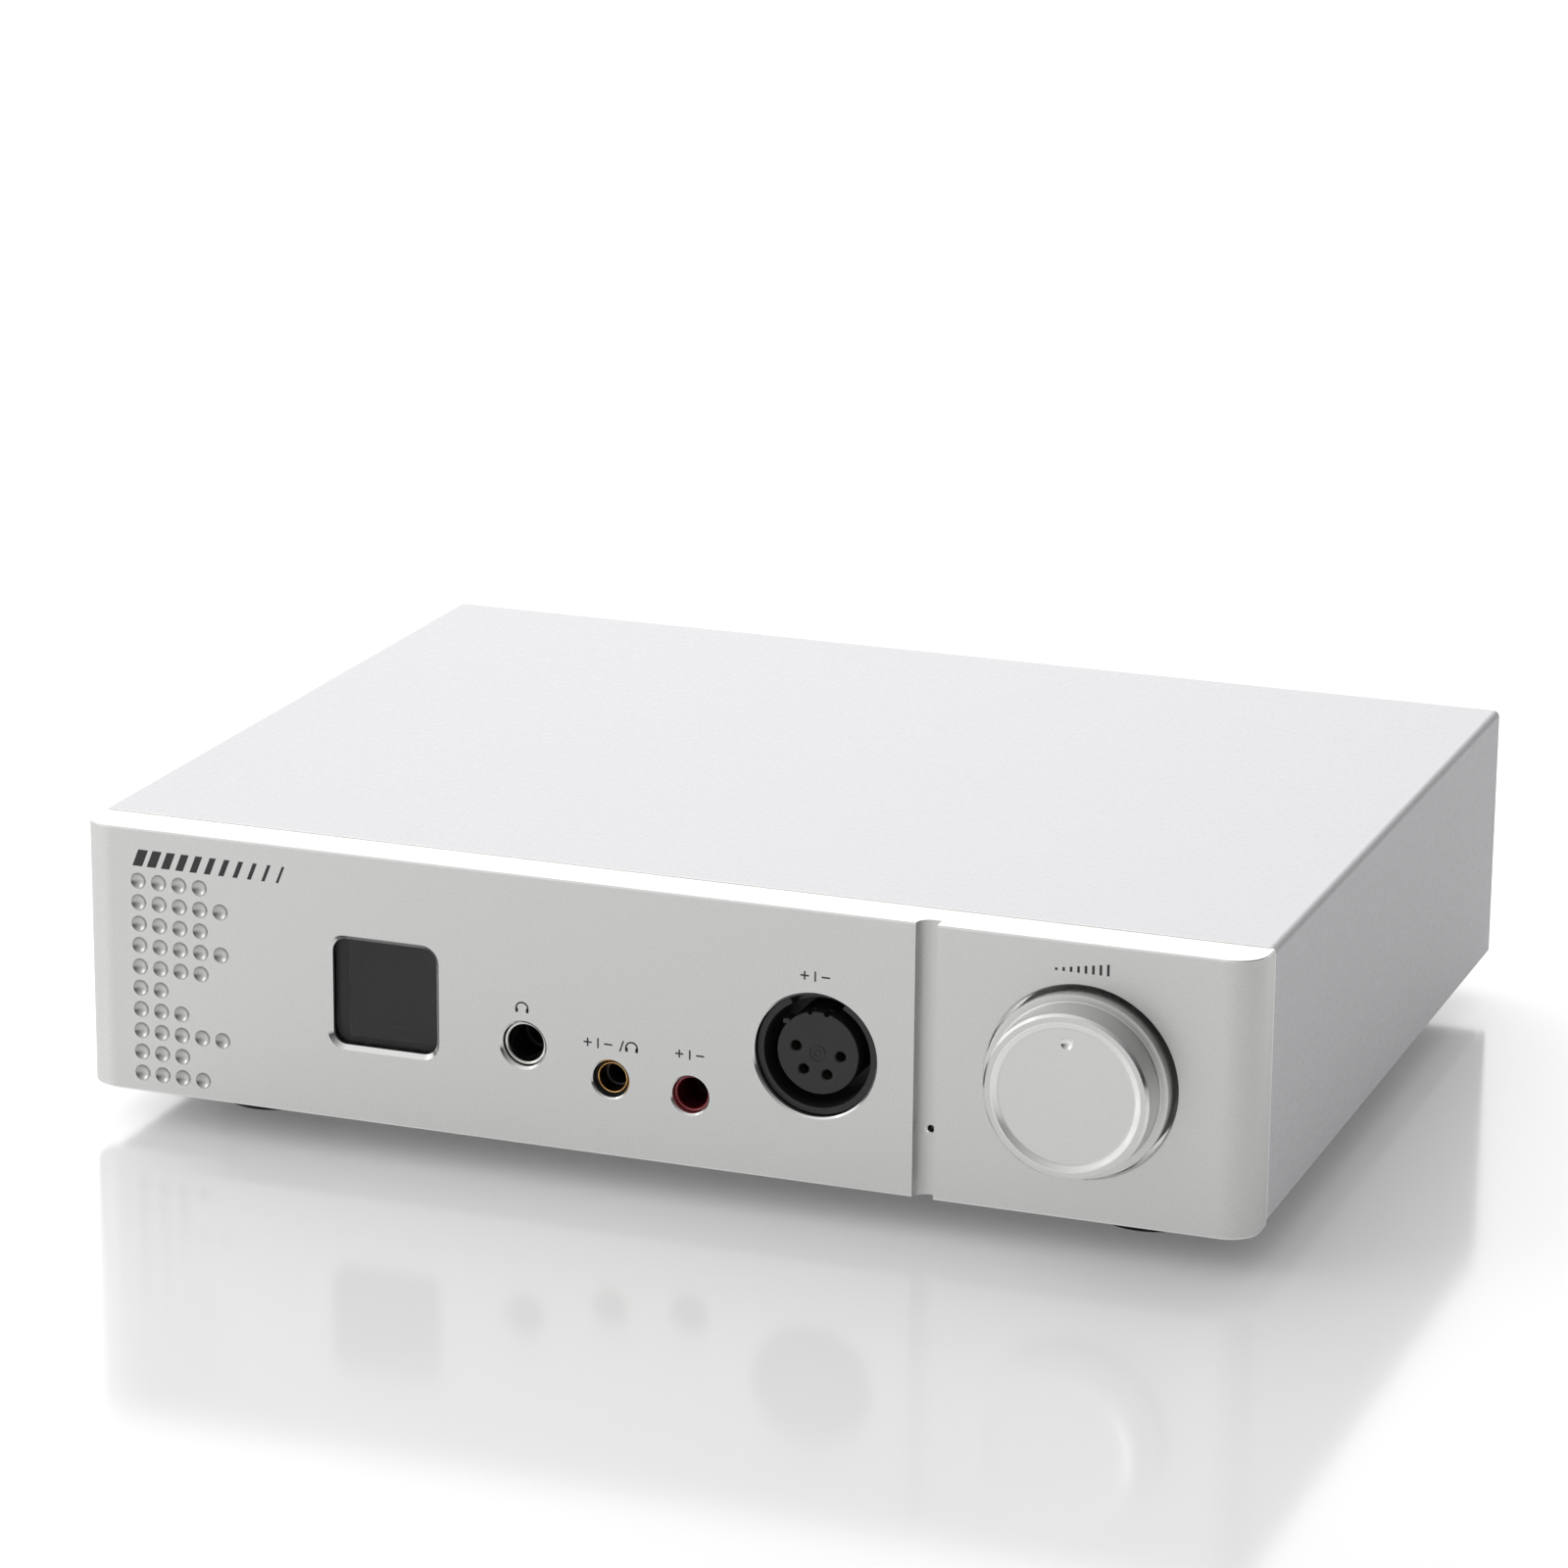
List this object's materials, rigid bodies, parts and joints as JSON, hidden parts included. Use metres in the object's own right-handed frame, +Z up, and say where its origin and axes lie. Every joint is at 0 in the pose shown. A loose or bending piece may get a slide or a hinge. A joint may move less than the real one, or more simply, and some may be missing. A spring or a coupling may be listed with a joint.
{
  "type": "headphone amplifier",
  "caption": "Low aluminium headphone amplifier with a thick round-ended front panel, dimples, display window, headphone sockets, balanced socket and volume knob.",
  "frame": {"origin": "middle of the bounding box in plan, on the surface that the feet stand on", "axes": "+X to the right seen from the front, +Y from the front panel to the rear panel, +Z up"},
  "size_m": [0.26, 0.22, 0.0676],
  "materials": {
    "panel_aluminium": "fine bead-blasted, clear anodised",
    "case_aluminium": "bead-blasted sheet, clear anodised",
    "knob_aluminium": "turned and fine blasted",
    "bright_metal": "nickel plate",
    "gold_plate": "gold flash",
    "black_plastic": "moulded, satin",
    "red_plastic": "moulded, glossy",
    "rubber": "moulded",
    "display_glass": "smoked, polished",
    "circuit_board": "solder mask",
    "transformer_winding": "polyester tape over copper and steel",
    "dark_alloy": "black anodised",
    "capacitor_sleeve": "shrunk sleeve",
    "ribbon": "flat cable"
  },
  "bodies": {
    "chassis": {"board_post_1": "bright_metal", "board_post_2": "bright_metal", "board_post_3": "bright_metal", "board_post_4": "bright_metal", "bottom_plate": "case_aluminium", "control_board": "circuit_board", "display_board": "circuit_board", "display_module": "black_plastic", "encoder_body": "bright_metal", "encoder_nut": "bright_metal", "filter_cap_1": "capacitor_sleeve", "filter_cap_2": "capacitor_sleeve", "filter_cap_3": "capacitor_sleeve", "filter_cap_4": "capacitor_sleeve", "foot_front_left": "rubber", "foot_front_right": "rubber", "foot_rear_left": "rubber", "foot_rear_right": "rubber", "front_panel": "panel_aluminium", "heatsink_left": "dark_alloy", "heatsink_right": "dark_alloy", "indicator_led": "black_plastic", "inlet_pin_earth": "bright_metal", "inlet_pin_line": "bright_metal", "inlet_pin_neutral": "bright_metal", "jack_44_body": "black_plastic", "jack_44_ring": "gold_plate", "jack_635_body": "black_plastic", "jack_635_ferrule": "bright_metal", "jack_board": "circuit_board", "jack_red_body": "black_plastic", "jack_red_collar": "red_plastic", "main_board": "circuit_board", "mains_inlet": "black_plastic", "output_relay": "black_plastic", "phono_in_left": "gold_plate", "phono_in_right": "gold_plate", "rear_panel": "case_aluminium", "ribbon_cable": "ribbon", "top_cover": "case_aluminium", "transformer": "transformer_winding", "transformer_bolt": "bright_metal", "transformer_pad": "rubber", "transformer_washer": "bright_metal", "window_lens": "display_glass", "xlr4_insert": "black_plastic", "xlr4_shell": "black_plastic", "xlr_in_left_insert": "black_plastic", "xlr_in_left_shell": "black_plastic", "xlr_in_right_insert": "black_plastic", "xlr_in_right_shell": "black_plastic"},
    "encoder_plunger": {"encoder_plunger": "bright_metal"},
    "volume_knob": {"volume_knob": "knob_aluminium", "encoder_shaft": "bright_metal", "knob_grub_screw": "bright_metal"},
    "power_rocker": {"power_rocker": "black_plastic"},
    "fuse_drawer": {"fuse_drawer": "black_plastic", "fuse": "bright_metal"},
    "latch_left": {"xlr_in_left_latch": "bright_metal"},
    "latch_right": {"xlr_in_right_latch": "bright_metal"}
  },
  "joints": [
    {"name": "volume_press", "type": "slide", "parent": "chassis", "child": "encoder_plunger", "axis": [0, 1, 0], "range_m": [0, 0.0005], "stiffness_N_per_m": 3000, "springref_m": -0.0005},
    {"name": "volume_turn", "type": "hinge", "parent": "encoder_plunger", "child": "volume_knob", "pos_m": [0.0934, -0.1, 0.03815], "axis": [0, -1, 0], "continuous": true},
    {"name": "power_rock", "type": "hinge", "parent": "chassis", "child": "power_rocker", "pos_m": [-0.106, 0.0975, 0.0382], "axis": [1, 0, 0], "range_deg": [0, 14]},
    {"name": "fuse_drawer_pull", "type": "slide", "parent": "chassis", "child": "fuse_drawer", "axis": [0, 1, 0], "range_m": [0, 0.018]},
    {"name": "latch_left_press", "type": "slide", "parent": "chassis", "child": "latch_left", "axis": [0, 0, -1], "range_m": [0, 0.0012], "stiffness_N_per_m": 400, "springref_m": -0.001},
    {"name": "latch_right_press", "type": "slide", "parent": "chassis", "child": "latch_right", "axis": [0, 0, -1], "range_m": [0, 0.0012], "stiffness_N_per_m": 400, "springref_m": -0.001}
  ]
}
